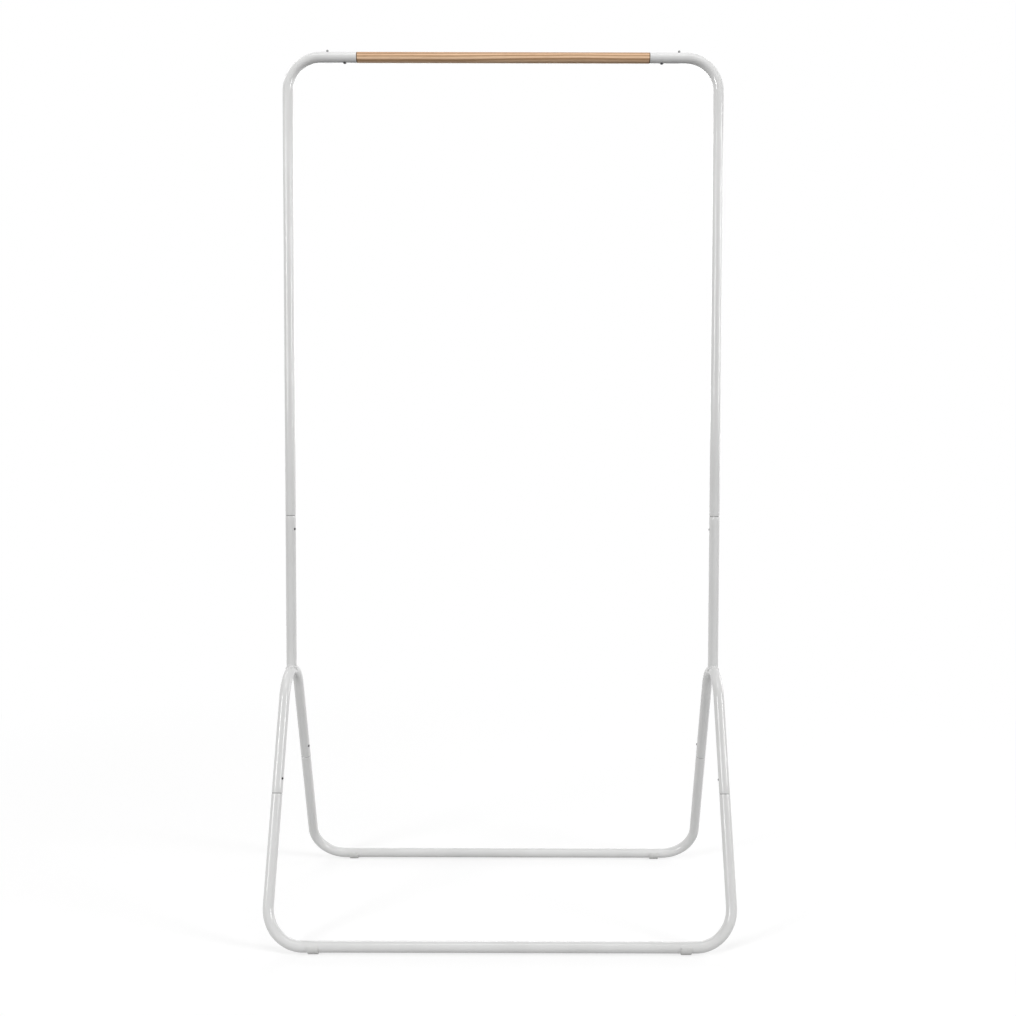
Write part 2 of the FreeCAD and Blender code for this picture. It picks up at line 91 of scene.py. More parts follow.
def buttonWay(side, end=0):
    # square to its tube and inwards, swung to the front on the left and to the back on the right;
    # end 0 is a post
    tilt = end * lean
    return -side * np.array([math.cos(swing), -math.sin(swing) * math.cos(tilt),
                             -math.sin(swing) * math.sin(tilt)])


# surfaces from whole arrays
meshSet = {
    "merge": 0.001 * mm,
    "crisp": 38,                    # degrees, steeper edges stay sharp
    "aslant": [0.31, 0.87, 0.38],   # a direction that no turned piece has
    "arcSteps": 5,
}


def unit(vector):
    vector = np.asarray(vector, float)
    return vector / np.linalg.norm(vector)


def unitRows(vectors):
    return vectors / np.linalg.norm(vectors, axis=1)[:, None]


def gridQuads(rows, columns, closedRows=False):
    # the four corners of every cell of a grid that closes round its columns, numbered row by row
    index = np.arange(rows * columns).reshape(rows, columns)
    if closedRows:
        index = np.vstack([index, index[:1]])
    index = np.hstack([index, index[:, :1]])
    cells = [index[:-1, :-1], index[1:, :-1], index[1:, 1:], index[:-1, 1:]]
    return np.stack(cells, axis=-1).reshape(-1, 4)


def putPiece(name, points, quads, finish, crisp=meshSet["crisp"], marks=None):
    # arrays into a mesh: doubles merged, faces turned outwards, steep edges kept crisp
    mesh = bpy.data.meshes.new(name)
    points = np.asarray(points, float).reshape(-1, 3)
    mesh.vertices.add(len(points))
    mesh.vertices.foreach_set("co", points.ravel())
    mesh.loops.add(quads.size)
    mesh.loops.foreach_set("vertex_index", quads.ravel().astype(np.int32))
    mesh.polygons.add(len(quads))
    mesh.polygons.foreach_set("loop_start", np.arange(len(quads), dtype=np.int32) * 4)
    for key, values in (marks or {}).items():
        layer = mesh.attributes.new(key, "FLOAT", "POINT")
        layer.data.foreach_set("value", np.asarray(values, np.float32).ravel())
    mesh.update(calc_edges=True)
    shell = bmesh.new()
    shell.from_mesh(mesh)
    bmesh.ops.remove_doubles(shell, verts=shell.verts, dist=meshSet["merge"])
    bmesh.ops.recalc_face_normals(shell, faces=shell.faces)
    shell.to_mesh(mesh)
    shell.free()
    mesh.shade_smooth()
    mesh.set_sharp_from_angle(angle=math.radians(crisp))
    mesh.materials.append(finish)
    piece = bpy.data.objects.new(name, mesh)
    bpy.context.scene.collection.objects.link(piece)
    return piece


def standFor(node, slot, name, points, quads, body="stand", **more):
    # a finished piece that rides on its body in place of the CAD node
    piece = putPiece(name, points, quads, finishes[slot], **more)
    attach(piece, body)
    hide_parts(node)
    return piece


def roundCorners(corners, radii, closed=False, steps=meshSet["arcSteps"]):
    # every corner gives way to an arc that touches both of its sides
    corners = np.asarray(corners, float)
    sweep = np.linspace(0, 1, steps)[:, None]
    if closed:
        trios = zip(np.roll(corners, 1, 0), corners, np.roll(corners, -1, 0), radii)
        outline = []
    else:
        trios = zip(corners, corners[1:], corners[2:], radii)
        outline = [corners[:1]]
    for before, corner, after, radius in trios:
        if radius == 0:
            outline.append(corner[None])
            continue
        back, onward = unit(before - corner), unit(after - corner)
        half = math.acos(np.clip(back @ onward, -1, 1)) / 2
        centre = corner + unit(back + onward) * radius / math.sin(half)
        first = corner + back * radius / math.tan(half) - centre
        last = corner + onward * radius / math.tan(half) - centre
        bend = math.pi - 2 * half
        arc = np.sin((1 - sweep) * bend) * first + np.sin(sweep * bend) * last
        outline.append(centre + arc / math.sin(bend))
    if not closed:
        outline.append(corners[-1:])
    return np.vstack(outline)


def turnProfile(profile, origin, along, columns):
    # a profile of (distance along the axis, radius) carried once round the axis
    along = unit(along)
    sideways = unit(np.cross(along, meshSet["aslant"]))
    across = np.cross(along, sideways)
    angle = np.arange(columns) / columns * turn
    ring = np.cos(angle)[:, None] * sideways + np.sin(angle)[:, None] * across
    points = np.asarray(origin) + profile[:, :1, None] * along + profile[:, 1:, None] * ring
    return points, gridQuads(len(profile), columns)


tubeSet = {
    "wall": 1.0 * mm,
    "around": 72,
    "runStep": 14 * mm,
    "bendStep": 3 * mm,
    "digits": 7,                # stations are rounded to this
    "rowClear": 0.3 * mm,       # no station nearer to a corner of the outline
    "flatten": 0.03,            # a bent tube is a little flatter across its bend
    "spigotRadius": 8.35 * mm,
    "spigotLength": 45 * mm,
    "spigotLip": 0.3 * mm,
    "spigotBoreLip": 0.25 * mm,
    "swage": 5 * mm,
    "swageRound": 1.5 * mm,
    "slit": 0.5 * mm,           # the pushed-in tube stops a little short of its shoulder
    "shoulder": 0.8 * mm,       # bevel on the narrowed tube's shoulder
    "shoulderFoot": 0.15 * mm,
    "shoulderRound": 0.6 * mm,
    "crease": 8 * mm,           # shoulder to the faint ring that the swaging leaves
    "creaseDepth": 0.22 * mm,
    "creaseHalf": 0.7 * mm,
    "creaseRound": 0.4 * mm,
    "lip": 0.45 * mm,
    "boreLip": 0.3 * mm,
    "bareShadeFrom": 0.35 * mm,      # paint ends this far below the tube's face; the dark steel below is partly painted shade
    "bareShadeOver": 0.3 * mm,
    "window": 1.45,             # cells cut out round a hole, in hole radii
    "windowClear": 0.5 * mm,
    "windowRows": 9,
    "holeRings": [0.4, 0.75, 1.0],   # from the window's edge to the circle
    "buttonHole": 2.3 * mm,
    "buttonDown": 25 * mm,      # seam to the button's axis
    "floorBend": 65 * mm,
    "hairpinBend": 64 * mm,
    "topBend": 62 * mm,
}
bore = tubeRadius - tubeSet["wall"]
spigotBore = tubeSet["spigotRadius"] - tubeSet["wall"]


class BentAxis:
    # a tube's middle line in one plane: straight runs, and arcs of one radius at the corners
    def __init__(self, corners, radius=None, plane=None):
        corners = np.asarray(corners, float)
        ways = [unit(b - a) for a, b in zip(corners, corners[1:])]
        self.plane = unit(np.cross(ways[0], ways[1])) if plane is None else unit(plane)
        self.runs = []
        self.length = 0
        point = corners[0]
        for index, way in enumerate(ways):
            corner = corners[index + 1]
            bend = math.acos(ways[index] @ ways[index + 1]) if index + 1 < len(ways) else 0
            cut = radius * math.tan(bend / 2) if bend else 0
            self.addRun((corner - point) @ way - cut, point, way, None)
            if bend:
                touch = corner - way * cut
                inward = unit(ways[index + 1] - way * (ways[index + 1] @ way))
                self.addRun(radius * bend, touch, way, touch + inward * radius)
                point = corner + ways[index + 1] * cut

    def addRun(self, length, point, way, hub):
        self.runs.append((self.length, self.length + length, point, way, hub))
        self.length += length

    def at(self, s):
        # point, in-plane side vector and share of bend at every length in s
        s = np.asarray(s, float)
        point = np.zeros((len(s), 3))
        way = np.zeros((len(s), 3))
        bend = np.zeros(len(s))
        slack = 1e-9
        for start, stop, first, ahead, hub in self.runs:
            here = (s >= start - slack) & (s <= stop + slack)
            t = (s[here] - start)[:, None]
            if hub is None:
                point[here] = first + t * ahead
                way[here] = ahead
                continue
            arm = first - hub
            radius = np.linalg.norm(arm)
            sweep = t / radius
            point[here] = hub + np.cos(sweep) * arm + np.sin(sweep) * radius * ahead
            way[here] = np.cos(sweep) * ahead - np.sin(sweep) * arm / radius
            bend[here] = np.sin(math.pi * t[:, 0] / (stop - start)) ** 2
        return point, np.cross(self.plane, way), bend

    def stations(self):
        # lengths at which the tube gets a ring, closer together in the bends
        marks = []
        for start, stop, first, ahead, hub in self.runs:
            step = tubeSet["runStep"] if hub is None else tubeSet["bendStep"]
            count = max(2, int(math.ceil((stop - start) / step)) + 1)
            marks.append(np.linspace(start, stop, count))
        return np.unique(np.round(np.concatenate(marks), tubeSet["digits"]))

    def skin(self, length, radius, angle):
        # point(s, a) = axis(s) + r (cos a plane + sin a side), a little flatter in the bends
        middle, side, bend = self.at(np.clip(length.ravel(), 0, self.length))
        shape = length.shape + (3,)
        middle, side = middle.reshape(shape), side.reshape(shape)
        bend = bend.reshape(length.shape)
        wide = radius * (1 + 0.5 * tubeSet["flatten"] * bend) * np.cos(angle)
        flat = radius * (1 - tubeSet["flatten"] * bend) * np.sin(angle)
        return middle + wide[..., None] * self.plane + flat[..., None] * side


def spigotEnd(length, far):
    # outline of a narrowed end and its bore, as (length, radius); far counts from the other end
    k = tubeSet
    seam, narrow, top = k["spigotLength"], k["spigotRadius"], tubeRadius
    step, crease = seam + k["slit"], seam + k["crease"]
    outer = [(0, narrow), (step, narrow), (step, top - k["shoulder"]), (step + k["shoulder"], top),
             (crease - k["creaseHalf"], top), (crease, top - k["creaseDepth"]),
             (crease + k["creaseHalf"], top)]
    outerRound = [k["spigotLip"], 0, k["shoulderFoot"], k["shoulderRound"]] + [k["creaseRound"]] * 3
    inner = [(seam + k["swage"], bore), (seam, spigotBore), (0, spigotBore)]
    innerRound = [k["swageRound"], k["swageRound"], k["spigotBoreLip"]]
    if far:
        outer = [(length - s, r) for s, r in outer][::-1]
        inner = [(length - s, r) for s, r in inner][::-1]
        return outer, outerRound[::-1], inner, innerRound[::-1]
    return outer, outerRound, inner, innerRound


def openEnd(length, far):
    # outline of a plain end with its edges eased
    s = length if far else 0
    return [(s, tubeRadius)], [tubeSet["lip"]], [(s, bore)], [tubeSet["boreLip"]]


def tubeRows(axis, startEnd, stopEnd, holes):
    # the closed outline of (s, r), along the outside and back along the bore, with a row at every
    # station between its corners
    k = tubeSet
    outerA, outerRoundA, innerA, innerRoundA = startEnd(axis.length, False)
    outerB, outerRoundB, innerB, innerRoundB = stopEnd(axis.length, True)
    loop = roundCorners(outerA + outerB + innerB + innerA,
                        outerRoundA + outerRoundB + innerRoundB + innerRoundA, closed=True)
    stations = axis.stations()
    for place, towards, radius in holes:
        stations = stations[abs(stations - place) > radius * k["window"] + k["windowClear"]]
    window = np.linspace(-k["window"], k["window"], k["windowRows"])
    windows = [place + window * radius for place, towards, radius in holes]
    stations = np.unique(np.round(np.concatenate([stations] + windows), k["digits"]))
    parts = []
    for here, there in zip(loop, np.roll(loop, -1, 0)):
        low, high = min(here[0], there[0]), max(here[0], there[0])
        between = stations[(stations > low + k["rowClear"]) & (stations < high - k["rowClear"])]
        if there[0] < here[0]:
            between = between[::-1]
        share = (between - here[0]) / (there[0] - here[0] or 1)
        radius = here[1] + share * (there[1] - here[1])
        parts.append(np.vstack([here[None], np.column_stack([between, radius])]))
    return np.vstack(parts).T


def carryTube(axis, startEnd, stopEnd, holes=(), warp=None):
    # the outline's rows carried along the axis. Each hole swaps a window of cells, in the outer
    # wall and in the inner one, for rings that shrink from the window to a circle
    k = tubeSet
    s, r = tubeRows(axis, startEnd, stopEnd, holes)
    around = k["around"]
    step = turn / around
    angle = np.broadcast_to(np.arange(around) * step, (len(s), around))
    length = np.broadcast_to(s[:, None], angle.shape)
    radius = np.broadcast_to(r[:, None], angle.shape)
    points = [axis.skin(length, radius, angle).reshape(-1, 3)]
    radii = [radius.ravel()]
    quads = gridQuads(len(s), around, closedRows=True)
    cellRow, cellColumn = np.divmod(np.arange(len(quads)), around)
    keep = np.ones(len(quads), bool)
    patches = []
    count = len(s) * around
    share = np.array(k["holeRings"])[:, None]
    for place, towards, holeRadius in holes:
        side = axis.at([place])[1][0]
        middleAngle = math.atan2(np.dot(towards, side), np.dot(towards, axis.plane))
        inside = np.flatnonzero(abs(s - place) < holeRadius * k["window"] + meshSet["merge"])
        walls = np.split(inside, np.flatnonzero(np.diff(inside) > 1) + 1)
        half = k["window"] * math.asin(holeRadius / min(r[rows[0]] for rows in walls))
        first = int(math.floor((middleAngle - half) / step))
        last = int(math.ceil((middleAngle + half) / step))
        columns = np.arange(first, last + 1)
        wide = len(columns)
        chain = []
        for rows in walls:
            cutRows = (cellRow >= rows[0]) & (cellRow < rows[-1])
            keep &= ~(cutRows & np.isin(cellColumn, columns[:-1] % around))
            wallRadius = r[rows[0]]
            rows = rows if s[rows[-1]] > s[rows[0]] else rows[::-1]
            tall = len(rows)
            edgeRow = np.concatenate([np.full(wide, rows[0]), rows[1:],
                                      np.full(wide - 1, rows[-1]), rows[-2:0:-1]])
            edgeColumn = np.concatenate([columns, np.full(tall - 1, columns[-1]),
                                         columns[-2::-1], np.full(tall - 2, columns[0])])
            edgeAngle, edgeLength = edgeColumn * step, s[edgeRow]
            spin = np.arctan2(wallRadius * (edgeAngle - middleAngle), edgeLength - place)
            rimAngle = middleAngle + np.arcsin(holeRadius * np.sin(spin) / wallRadius)
            rimLength = place + holeRadius * np.cos(spin)
            ringAngle = (1 - share) * edgeAngle + share * rimAngle
            ringLength = (1 - share) * edgeLength + share * rimLength
            ringRadius = np.full(ringAngle.shape, wallRadius)
            points.append(axis.skin(ringLength, ringRadius, ringAngle).reshape(-1, 3))
            radii.append(ringRadius.ravel())
            rings = [edgeRow * around + edgeColumn % around]
            rings += list(count + np.arange(ringAngle.size).reshape(ringAngle.shape))
            count += ringAngle.size
            chain.append(rings)
        ladder = chain[0] + chain[1][::-1]     # window, circle, through the wall, circle, window
        for ring, following in zip(ladder, ladder[1:]):
            cells = [ring, np.roll(ring, -1), np.roll(following, -1), following]
            patches.append(np.stack(cells, axis=-1))
    points = np.vstack(points)
    if warp is not None:
        points = warp(points)
    quads = np.vstack([quads[keep]] + patches)
    # what sinks below the tube's face gets dark steel: partly bare metal, partly painted shade in
    # seams, holes and bores
    sunk = tubeRadius - np.concatenate(radii)
    return points, quads, {"bareSteelAndShade": np.clip((sunk - k["bareShadeFrom"]) / k["bareShadeOver"], 0, 1)}


# finishes
class Val:
    # a shader value: an expression on it adds its Math nodes
    def __init__(self, nodes, socket):
        self.nodes = nodes
        self.socket = socket

    def math(self, operation, *values):
        return self.nodes.add("ShaderNodeMath", {"operation": operation}, dict(enumerate(values)))

    def __add__(self, other):
        return self.math("ADD", self, other)

    def __radd__(self, other):
        return self.math("ADD", other, self)

    def __sub__(self, other):
        return self.math("SUBTRACT", self, other)

    def __rsub__(self, other):
        return self.math("SUBTRACT", other, self)

    def __mul__(self, other):
        return self.math("MULTIPLY", self, other)

    def __rmul__(self, other):
        return self.math("MULTIPLY", other, self)

    def __pow__(self, other):
        return self.math("POWER", self, other)

    def __rpow__(self, other):
        return self.math("POWER", other, self)

    def wave(self, gap):
        # from 1 down to 0 and back over every gap
        return self.math("COSINE", self * (turn / gap)) * 0.5 + 0.5


class Nodes:
    # the nodes of one material, or of the world
    def __init__(self, owner):
        self.owner = owner
        owner.use_nodes = True
        self.tree = owner.node_tree
        self.tree.nodes.clear()

    def add(self, kind, settings, inputs, output=0):
        # one node: its settings first, then the values or links of its sockets
        made = self.tree.nodes.new(kind)
        for key, value in settings.items():
            setattr(made, key, value)
        for key, value in inputs.items():
            if isinstance(value, Val):
                self.tree.links.new(value.socket, made.inputs[key])
            else:
                made.inputs[key].default_value = value
        return Val(self, made.outputs[output]) if made.outputs else None

    def shade(self, **values):
        named = {key.replace("_", " "): value for key, value in values.items()}
        return self.add("ShaderNodeBsdfPrincipled", {}, named)

    def close(self, shader, kind="ShaderNodeOutputMaterial"):
        self.add(kind, {}, {"Surface": shader})
        return self.owner

    def place(self, scale=(1, 1, 1), shift=(0, 0, 0)):
        here = self.add("ShaderNodeTexCoord", {}, {}, "Object")
        return self.add("ShaderNodeMapping", {}, {"Vector": here, "Location": shift,
                                                  "Scale": scale})

    def split(self, where):
        return [self.add("ShaderNodeSeparateXYZ", {}, {0: where}, axis) for axis in range(3)]

    def noise(self, where, scale=1, detail=2.0, roughness=0.5):
        return self.add("ShaderNodeTexNoise", {}, {"Vector": where, "Scale": scale,
                                                   "Detail": detail, "Roughness": roughness})

    def mark(self, name):
        return self.add("ShaderNodeAttribute", {"attribute_name": name}, {}, "Fac")

    def ramp(self, value, low, high):
        return self.add("ShaderNodeMapRange", {"interpolation_type": "SMOOTHSTEP"},
                        {"Value": value, "From Min": low, "From Max": high})

    def mix(self, share, first, second):
        return self.add("ShaderNodeMix", {"data_type": "RGBA"},
                        {"Factor": share, 6: first, 7: second}, 2)

    def bump(self, height, strength, distance):
        return self.add("ShaderNodeBump", {}, {"Height": height, "Strength": strength,
                                               "Distance": distance})

    def glow(self, strength):
        return self.add("ShaderNodeEmission", {}, {"Color": grey(1.0), "Strength": strength})

    def seen(self):
        # 1 for what the camera sees, straight, mirrored or through glass; 0 for light on the object
        rays = ("Is Camera Ray", "Is Glossy Ray", "Is Transmission Ray")
        straight, mirrored, through = [self.add("ShaderNodeLightPath", {}, {}, ray) for ray in rays]
        return straight + mirrored + through


def newFinish(name):
    return Nodes(bpy.data.materials.new(name))


def grey(value):
    return (value, value, value, 1)


coatSet = {
    # the dark steel tone is partly bare metal and partly painted shade in seams and bores
    "paint": (0.83, 0.83, 0.825, 1), "drift": (0.79, 0.79, 0.783, 1), "steel": grey(0.16),
    "driftScale": 9, "driftDetail": 3, "driftFrom": 0.35, "driftTo": 0.7,
    "peelScale": 620, "peelDetail": 1.5, "peelBump": 0.25, "peelHeight": 0.12 * mm,
    "rough": 0.12, "driftRough": 0.06, "bareRough": 0.2, "bareMetal": 0.8,
}


def whiteCoat():
    # satin powder coat: fine orange peel, faint tone drift, dark bare steel on the narrowed ends
    # and in the bores, which also serves as painted shade in seams and holes
    k = coatSet
    coat = newFinish("whiteCoat")
    where = coat.place()
    bareSteelAndShade = coat.mark("bareSteelAndShade")
    drift = coat.noise(where, k["driftScale"], k["driftDetail"])
    peel = coat.noise(where, k["peelScale"], k["peelDetail"])
    paint = coat.mix(coat.ramp(drift, k["driftFrom"], k["driftTo"]), k["paint"], k["drift"])
    return coat.close(coat.shade(
        # the mask turns the paint to dark steel: bare metal, and painted shade in the seams
        Base_Color=coat.mix(bareSteelAndShade, paint, k["steel"]),
        Metallic=bareSteelAndShade * k["bareMetal"],
        Roughness=k["rough"] + drift * k["driftRough"] + bareSteelAndShade * k["bareRough"],
        Normal=coat.bump(peel * (1 - bareSteelAndShade), k["peelBump"], k["peelHeight"])))


lacquerSet = {
    "early": (0.97, 0.69, 0.46, 1), "mid": (0.54, 0.31, 0.165, 1), "late": (0.32, 0.17, 0.085, 1),
    # the cut tone is end grain, darkened further as painted shade where the dowel meets the tubes
    "pore": (0.20, 0.10, 0.045, 1), "cut": (0.11, 0.06, 0.032, 1),
    # the rings are shifted so that a light band runs along the middle of the front face: a painted
    # highlight
    "ringGap": 5.5 * mm, "highlightRingShift": -3.5 * mm, "ringPower": 0.8,
    "broadGap": 22 * mm, "broadLow": 0.2, "broadRise": 0.8,    # the rings fade along the top of the rail, painted shade, and come back
    "cup": 9, "slant": 0.003, "driftBend": 4 * mm, "swayBend": 3 * mm,
    "driftScale": (2.4, 40, 40), "swayScale": (5, 9, 9),
    "fibreScale": (6, 520, 520), "fibreDetail": 5, "fibreRough": 0.65,
    "poreScale": (45, 2100, 2100), "poreFrom": 0.60, "poreTo": 0.70, "poreShare": 0.35,
    "ringTone": 0.62, "fibreTone": 0.75, "driftTone": 0.3, "toneFrom": 0.42, "toneTo": 1.15,
    "latePower": 4, "lateShare": 0.5,
    "gloss": 0.42, "fibreGloss": 0.12, "cutGloss": 0.2,
    "fibreRise": 0.6, "poreSink": 0.4, "ringRise": 0.2, "bump": 0.2, "height": 0.15 * mm,
    "coat": 0.06, "coatRough": 0.3, "specular": 0.2,
}


def railLacquer():
    # hardwood dowel, flat sawn: growth rings lie nearly level, so light and dark bands run along
    # it.
    # The bands are set in height: the light band along the middle of the front face is a painted
    # highlight and the darker top is painted shade; stretched fibres, short pores, dark end grain
    # at the shoulders with painted shade where the dowel meets the tubes, clear lacquer
    k = lacquerSet
    wood = newFinish("railLacquer")
    x, y, z = wood.split(wood.place(shift=(0, 0, -railHeight)))
    drift = wood.noise(wood.place(k["driftScale"]))
    sway = wood.noise(wood.place(k["swayScale"]), detail=1)
    # bands set by height: light along the middle of the front face, dark along the top, as painted
    # highlight and painted shade
    level = (z - k["highlightRingShift"] - y * y * k["cup"] - x * k["slant"]
             + (drift - 0.5) * k["driftBend"] + (sway - 0.5) * k["swayBend"])
    topShadeFade = k["broadLow"] + level.wave(k["broadGap"]) * k["broadRise"]
    ring = level.wave(k["ringGap"]) ** k["ringPower"] * topShadeFade
    fibre = wood.noise(wood.place(k["fibreScale"]), 1, k["fibreDetail"], k["fibreRough"])
    pore = wood.ramp(wood.noise(wood.place(k["poreScale"])), k["poreFrom"], k["poreTo"])
    cut = wood.mark("cut")
    tone = ring * k["ringTone"] + fibre * k["fibreTone"] + drift * k["driftTone"]
    colour = wood.mix(wood.ramp(tone, k["toneFrom"], k["toneTo"]), k["mid"], k["early"])
    colour = wood.mix((1 - ring) ** k["latePower"] * k["lateShare"], colour, k["late"])
    colour = wood.mix(pore * k["poreShare"], colour, k["pore"])
    height = fibre * k["fibreRise"] - pore * k["poreSink"] + ring * k["ringRise"]
    return wood.close(wood.shade(
        # darker at the ends: end grain, and painted shade at the joint with the tubes
        Base_Color=wood.mix(cut, colour, k["cut"]),
        Roughness=k["gloss"] + fibre * k["fibreGloss"] + cut * k["cutGloss"],
        Normal=wood.bump(height, k["bump"], k["height"]),
        Coat_Weight=k["coat"], Coat_Roughness=k["coatRough"], Specular_IOR_Level=k["specular"]))


steelSet = {
    "stopPaint": {"tone": grey(0.36), "streak": grey(0.27), "scale": 420, "metallic": 0.0},
    # screw and snap button tones are darkened past their plating: painted shade standing in for the
    # dark reflections their heads show
    "shadedZinc": {"tone": (0.075, 0.075, 0.08, 1), "streak": (0.04, 0.04, 0.042, 1),
                  "scale": 500, "metallic": 0.75},
    "shadedNickel": {"tone": (0.05, 0.05, 0.053, 1), "streak": (0.03, 0.03, 0.032, 1),
                   "scale": 450, "metallic": 0.5},
    "bluedSpring": {"tone": (0.20, 0.22, 0.28, 1), "streak": (0.30, 0.29, 0.30, 1),
                    "scale": 180, "metallic": 1.0},
}
grainSet = {"finer": 9, "rough": 0.3, "grainRough": 0.16, "bump": 0.15, "height": 0.04 * mm,
            "cloudDetail": 3, "cloudFrom": 0.3, "cloudTo": 0.7}


def smallSteel(name):
    # plated or painted small steel: cloudy tone and a fine grain in the gloss
    k, fine = steelSet[name], grainSet
    steel = newFinish(name)
    where = steel.place()
    cloud = steel.noise(where, k["scale"], fine["cloudDetail"])
    cloud = steel.ramp(cloud, fine["cloudFrom"], fine["cloudTo"])
    grain = steel.noise(where, k["scale"] * fine["finer"])
    return steel.close(steel.shade(
        Base_Color=steel.mix(cloud, k["tone"], k["streak"]),
        Metallic=k["metallic"],
        Roughness=fine["rough"] + grain * fine["grainRough"],
        Normal=steel.bump(grain, fine["bump"], fine["height"])))


nylonSet = {
    "white": (0.80, 0.80, 0.79, 1), "flow": (0.74, 0.74, 0.725, 1), "scuff": (0.42, 0.41, 0.39, 1),
    "flowScale": 160, "flowDetail": 3, "flowFrom": 0.3, "flowTo": 0.7, "fineScale": 1900,
    "scuffLow": 0.3 * mm, "scuffHigh": 2.2 * mm, "patchFrom": 0.35, "patchTo": 0.65,
    "scuffShare": 0.6, "rough": 0.5, "fineRough": 0.14, "bump": 0.2, "height": 0.06 * mm,
    "specular": 0.4,
}


def footNylon():
    # moulded nylon: matt, faintly mottled, scuffed where it meets the floor
    k = nylonSet
    nylon = newFinish("footNylon")
    where = nylon.place()
    height = nylon.split(where)[2]
    flow = nylon.noise(where, k["flowScale"], k["flowDetail"])
    fine = nylon.noise(where, k["fineScale"])
    low = 1 - nylon.ramp(height, k["scuffLow"], k["scuffHigh"])
    scuff = low * nylon.ramp(flow, k["patchFrom"], k["patchTo"])
    colour = nylon.mix(nylon.ramp(flow, k["flowFrom"], k["flowTo"]), k["white"], k["flow"])
    return nylon.close(nylon.shade(
        Base_Color=nylon.mix(scuff * k["scuffShare"], colour, k["scuff"]),
        Roughness=k["rough"] + fine * k["fineRough"],
        Normal=nylon.bump(fine, k["bump"], k["height"]),
        Specular_IOR_Level=k["specular"]))


finishes = {
    "white_steel": whiteCoat(),
    "rail_wood": railLacquer(),
    "stop_steel": smallSteel("stopPaint"),
    "screw_steel": smallSteel("shadedZinc"),
    "button_steel": smallSteel("shadedNickel"),
    "spring_steel": smallSteel("bluedSpring"),
    "foot_plastic": footNylon(),
}
print("finishes:", ", ".join(finishes))


def tubePiece(node, name, axis, startEnd, stopEnd, holes, warp=None):
    points, quads, marks = carryTube(axis, startEnd, stopEnd, holes, warp)
    standFor(node, "white_steel", name, points, quads, marks=marks)


# floor frames: a U of tube, tip to tip
floorSet = {"footIn": 17.5 * mm, "pegHole": 2.3 * mm}
footPlace = halfSpan - tubeSet["floorBend"] - floorSet["footIn"]
legTip = legSeam + tubeSet["spigotLength"]
buttonHole = tubeSet["buttonHole"]
buttonUp = tubeSet["spigotLength"] - tubeSet["buttonDown"]      # tip to the button's axis
for endName, end in ends.items():
    corners = [legPoint(-1, end, legTip), legPoint(-1, end, 0),
               legPoint(1, end, 0), legPoint(1, end, legTip)]
    axis = BentAxis(corners, tubeSet["floorBend"])
    holes = [(buttonUp, buttonWay(-1, end), buttonHole),
             (axis.length - buttonUp, buttonWay(1, end), buttonHole),
             (axis.length / 2 - footPlace, down, floorSet["pegHole"]),
             (axis.length / 2 + footPlace, down, floorSet["pegHole"])]
    tubePiece(f"{endName}_floor_frame", f"{endName}_floor_tube", axis, spigotEnd, spigotEnd, holes)
print("floor frames")

# side frames: hairpins that take the floor frames' legs
vertexHeight = barHeight + halfDepth / math.tan(lean)
for sideName, side in sides.items():
    corners = [legPoint(side, -1, legSeam), [side * halfSpan, 0, vertexHeight],
               legPoint(side, 1, legSeam)]
    axis = BentAxis(corners, tubeSet["hairpinBend"])
    holes = [(tubeSet["buttonDown"], buttonWay(side, -1), buttonHole),
             (axis.length - tubeSet["buttonDown"], buttonWay(side, 1), buttonHole)]
    tubePiece(f"side_frame_{sideName}", f"side_hairpin_{sideName}", axis, openEnd, openEnd, holes)
print("side frames")

# lower posts: the foot is coped to the crown, and the weld bead fills the corner
copeSet = {"run": 24 * mm, "gap": 0.1 * mm}
beadSet = {
    "radius": 1.72 * mm,
    "out": 0.35 * mm,
    "around": 320,
    "section": 22,
    "scales": 19,
    "scaleTilt": 0.16,         # share of a scale that its middle runs ahead
    "scaleDrift": 0.1,
    "low": 0.74,               # of the radius, between two scales
    "rise": 0.26,
    "early": 0.65,             # below 1 a scale climbs fast and falls slowly
    "uneven": 0.07,
    "waves": (5, 11),
    "secondStart": 2.1,
    "crisp": 60,
}
crownCentre = crownHeight - tubeSet["hairpinBend"]


def copeHeight(x, y, grow):
    # height at which an upright line at (x, y) meets the crown: a torus of the hairpin's bend and
    # the tube's radius
    ridge = tubeSet["hairpinBend"] + np.sqrt(np.clip((tubeRadius + grow) ** 2 - x * x, 0, None))
    return crownCentre + np.sqrt(ridge * ridge - y * y)


